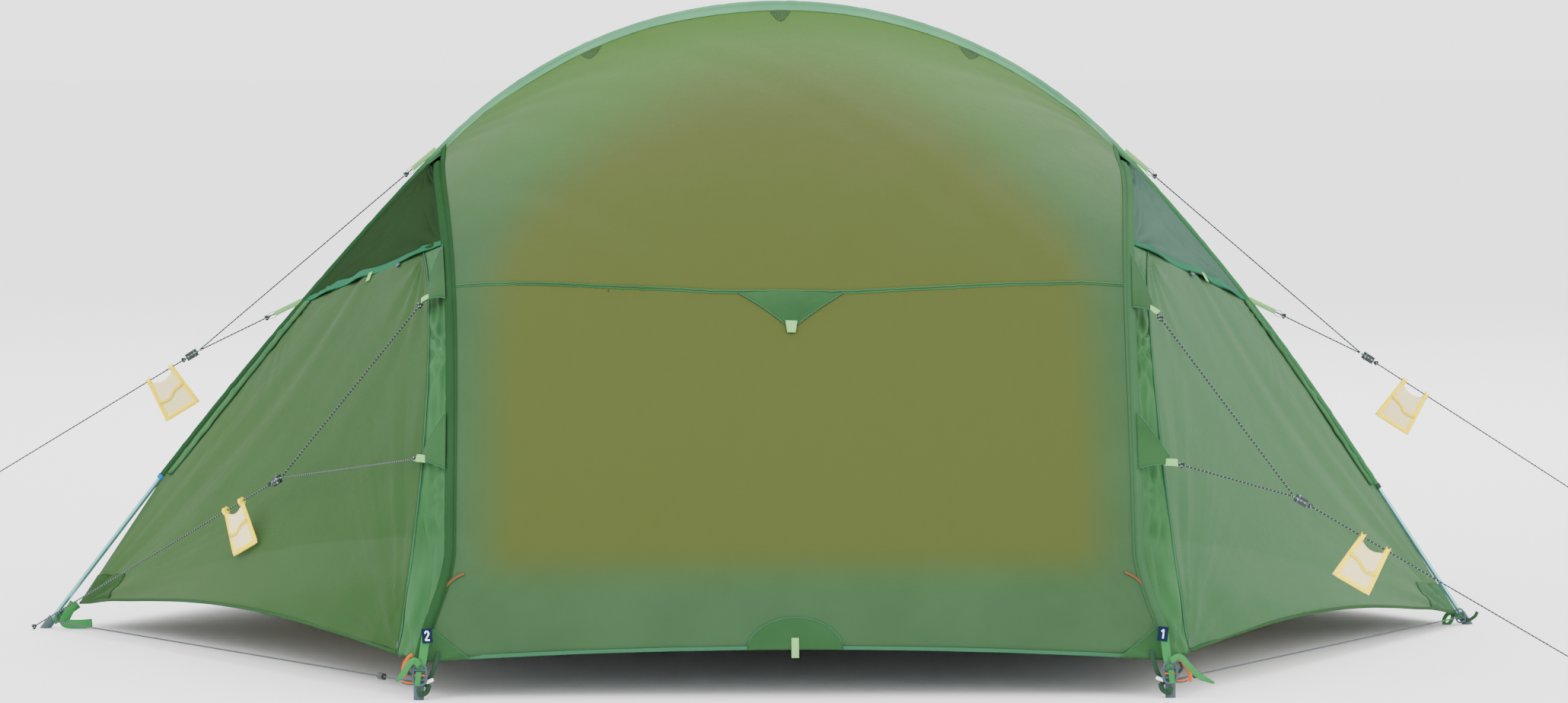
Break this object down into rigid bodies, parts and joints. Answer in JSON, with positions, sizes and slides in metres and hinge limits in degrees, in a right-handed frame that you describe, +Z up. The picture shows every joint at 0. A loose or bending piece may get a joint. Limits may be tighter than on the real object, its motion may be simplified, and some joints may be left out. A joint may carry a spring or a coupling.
{
  "type": "two-person tent",
  "caption": "Pitched semi-geodesic tent: arched ridge pole over hoop poles, outer tent with end porches, inner tent with tub floor, guylines.",
  "frame": {"origin": "middle of the inner tent's floor, on the ground, half way between the two hoop poles", "axes": "+X along the ridge pole, to the right as seen from the front; -Y towards the front; +Z up"},
  "size_m": [3.7755, 2.2624, 1.2],
  "materials": {
    "fly_cloth": "translucent coated cloth, satin",
    "door_cloth": "translucent coated cloth, satin",
    "hood_cloth": "coated cloth, satin",
    "sleeve_cloth": "woven cloth, matte",
    "inner_cloth": "thin breathable cloth, matte",
    "floor_cloth": "coated cloth, satin",
    "pole_alloy": "anodised, satin",
    "buckle_plastic": "moulded, matte",
    "webbing": "woven tape, matte",
    "cord_fibre": "braided, matte",
    "pouch_mesh": "fine net, matte"
  },
  "bodies": {
    "tent": {"apex_hanger": "webbing", "base_cord_left": "cord_fibre", "base_cord_right": "cord_fibre", "corner_strap_left": "webbing", "corner_strap_right": "webbing", "fly_front_lower": "fly_cloth", "fly_front_upper": "fly_cloth", "fly_rear_lower": "fly_cloth", "fly_rear_upper": "fly_cloth", "foot_cup_front_left": "buckle_plastic", "foot_cup_front_right": "buckle_plastic", "foot_cup_rear_left": "buckle_plastic", "foot_cup_rear_right": "buckle_plastic", "foot_cup_tip_left": "buckle_plastic", "foot_cup_tip_right": "buckle_plastic", "guy_lower_left_legs": "cord_fibre", "guy_lower_left_line": "cord_fibre", "guy_lower_left_runner": "buckle_plastic", "guy_lower_right_legs": "cord_fibre", "guy_lower_right_line": "cord_fibre", "guy_lower_right_runner": "buckle_plastic", "guy_upper_left_legs": "cord_fibre", "guy_upper_left_line": "cord_fibre", "guy_upper_left_runner": "buckle_plastic", "guy_upper_right_legs": "cord_fibre", "guy_upper_right_line": "cord_fibre", "guy_upper_right_runner": "buckle_plastic", "hoop_pole_left": "pole_alloy", "hoop_pole_right": "pole_alloy", "hoop_sleeve_left": "sleeve_cloth", "hoop_sleeve_right": "sleeve_cloth", "inner_canopy_front": "inner_cloth", "inner_canopy_rear": "inner_cloth", "inner_door_left": "inner_cloth", "inner_door_right": "inner_cloth", "inner_wall_left": "inner_cloth", "inner_wall_right": "inner_cloth", "left_door": "door_cloth", "left_hood": "hood_cloth", "left_rear_panel": "door_cloth", "left_zip_flap": "fly_cloth", "ridge_pole": "pole_alloy", "ridge_sleeve": "sleeve_cloth", "right_door": "door_cloth", "right_hood": "hood_cloth", "right_rear_panel": "door_cloth", "right_zip_flap": "fly_cloth", "tub_floor": "floor_cloth"},
    "left_zip_slider": {"left_zip_slider": "buckle_plastic"},
    "inner_zip_slider_left": {"inner_zip_slider_left": "buckle_plastic"},
    "cord_stop_left": {"cord_stop_left": "buckle_plastic"},
    "right_zip_slider": {"right_zip_slider": "buckle_plastic"},
    "inner_zip_slider_right": {"inner_zip_slider_right": "buckle_plastic"},
    "cord_stop_right": {"cord_stop_right": "buckle_plastic"},
    "guy_upper_left_pouch": {"guy_upper_left_pouch": "pouch_mesh"},
    "guy_upper_right_pouch": {"guy_upper_right_pouch": "pouch_mesh"},
    "guy_lower_left_pouch": {"guy_lower_left_pouch": "pouch_mesh"},
    "guy_lower_right_pouch": {"guy_lower_right_pouch": "pouch_mesh"},
    "vent_flap_front": {"vent_flap_front": "hood_cloth"},
    "vent_flap_rear": {"vent_flap_rear": "hood_cloth"}
  },
  "joints": [
    {"name": "left_door_zip", "type": "hinge", "parent": "tent", "child": "left_zip_slider", "pos_m": [-0.78099, -0.39485, 0.11723], "axis": [-0.9768, -0.1506, 0.1524], "range_deg": [0, 77.26], "deforming": ["left_door"]},
    {"name": "right_door_zip", "type": "hinge", "parent": "tent", "child": "right_zip_slider", "pos_m": [0.77744, -0.39378, 0.11653], "axis": [-0.9779, 0.1448, -0.151], "range_deg": [0, 77.18], "deforming": ["right_door"]},
    {"name": "inner_left_door_zip", "type": "hinge", "parent": "tent", "child": "inner_zip_slider_left", "pos_m": [-0.56, 0, 0.465], "axis": [1, 0, 0], "range_deg": [0, 270.31], "deforming": ["inner_door_left"]},
    {"name": "inner_right_door_zip", "type": "hinge", "parent": "tent", "child": "inner_zip_slider_right", "pos_m": [0.56, 0, 0.465], "axis": [1, 0, 0], "range_deg": [0, 270.31], "deforming": ["inner_door_right"]},
    {"name": "cord_stop_left_slide", "type": "slide", "parent": "tent", "child": "cord_stop_left", "axis": [0.5549, -0.8318, 0.012], "range_m": [-0.6, 0.07]},
    {"name": "cord_stop_right_slide", "type": "slide", "parent": "tent", "child": "cord_stop_right", "axis": [-0.5112, -0.8594, 0.012], "range_m": [-0.6, 0.07]},
    {"name": "guy_upper_left_pouch_swing", "type": "hinge", "parent": "tent", "child": "guy_upper_left_pouch", "pos_m": [-1.18567, 0, 0.48691], "axis": [-0.8549, 0, -0.5187], "range_deg": [-85, 85]},
    {"name": "guy_upper_right_pouch_swing", "type": "hinge", "parent": "tent", "child": "guy_upper_right_pouch", "pos_m": [1.22158, 0, 0.45597], "axis": [0.8408, 0, -0.5413], "range_deg": [-85, 85]},
    {"name": "guy_lower_left_pouch_swing", "type": "hinge", "parent": "tent", "child": "guy_lower_left_pouch", "pos_m": [-1.01307, -0.47127, 0.27623], "axis": [-0.6204, 0.6715, -0.4051], "range_deg": [-6, 80]},
    {"name": "guy_lower_right_pouch_swing", "type": "hinge", "parent": "tent", "child": "guy_lower_right_pouch", "pos_m": [1.02446, -0.95149, 0.24975], "axis": [0.8634, 0.0031, -0.5045], "range_deg": [-80, 80]},
    {"name": "vent_front_lift", "type": "hinge", "parent": "tent", "child": "vent_flap_front", "pos_m": [0, -0.81073, 0.68465], "axis": [-1, 0, 0], "range_deg": [0, 95]},
    {"name": "vent_rear_lift", "type": "hinge", "parent": "tent", "child": "vent_flap_rear", "pos_m": [0, 0.81073, 0.68465], "axis": [1, 0, 0], "range_deg": [0, 95]}
  ]
}
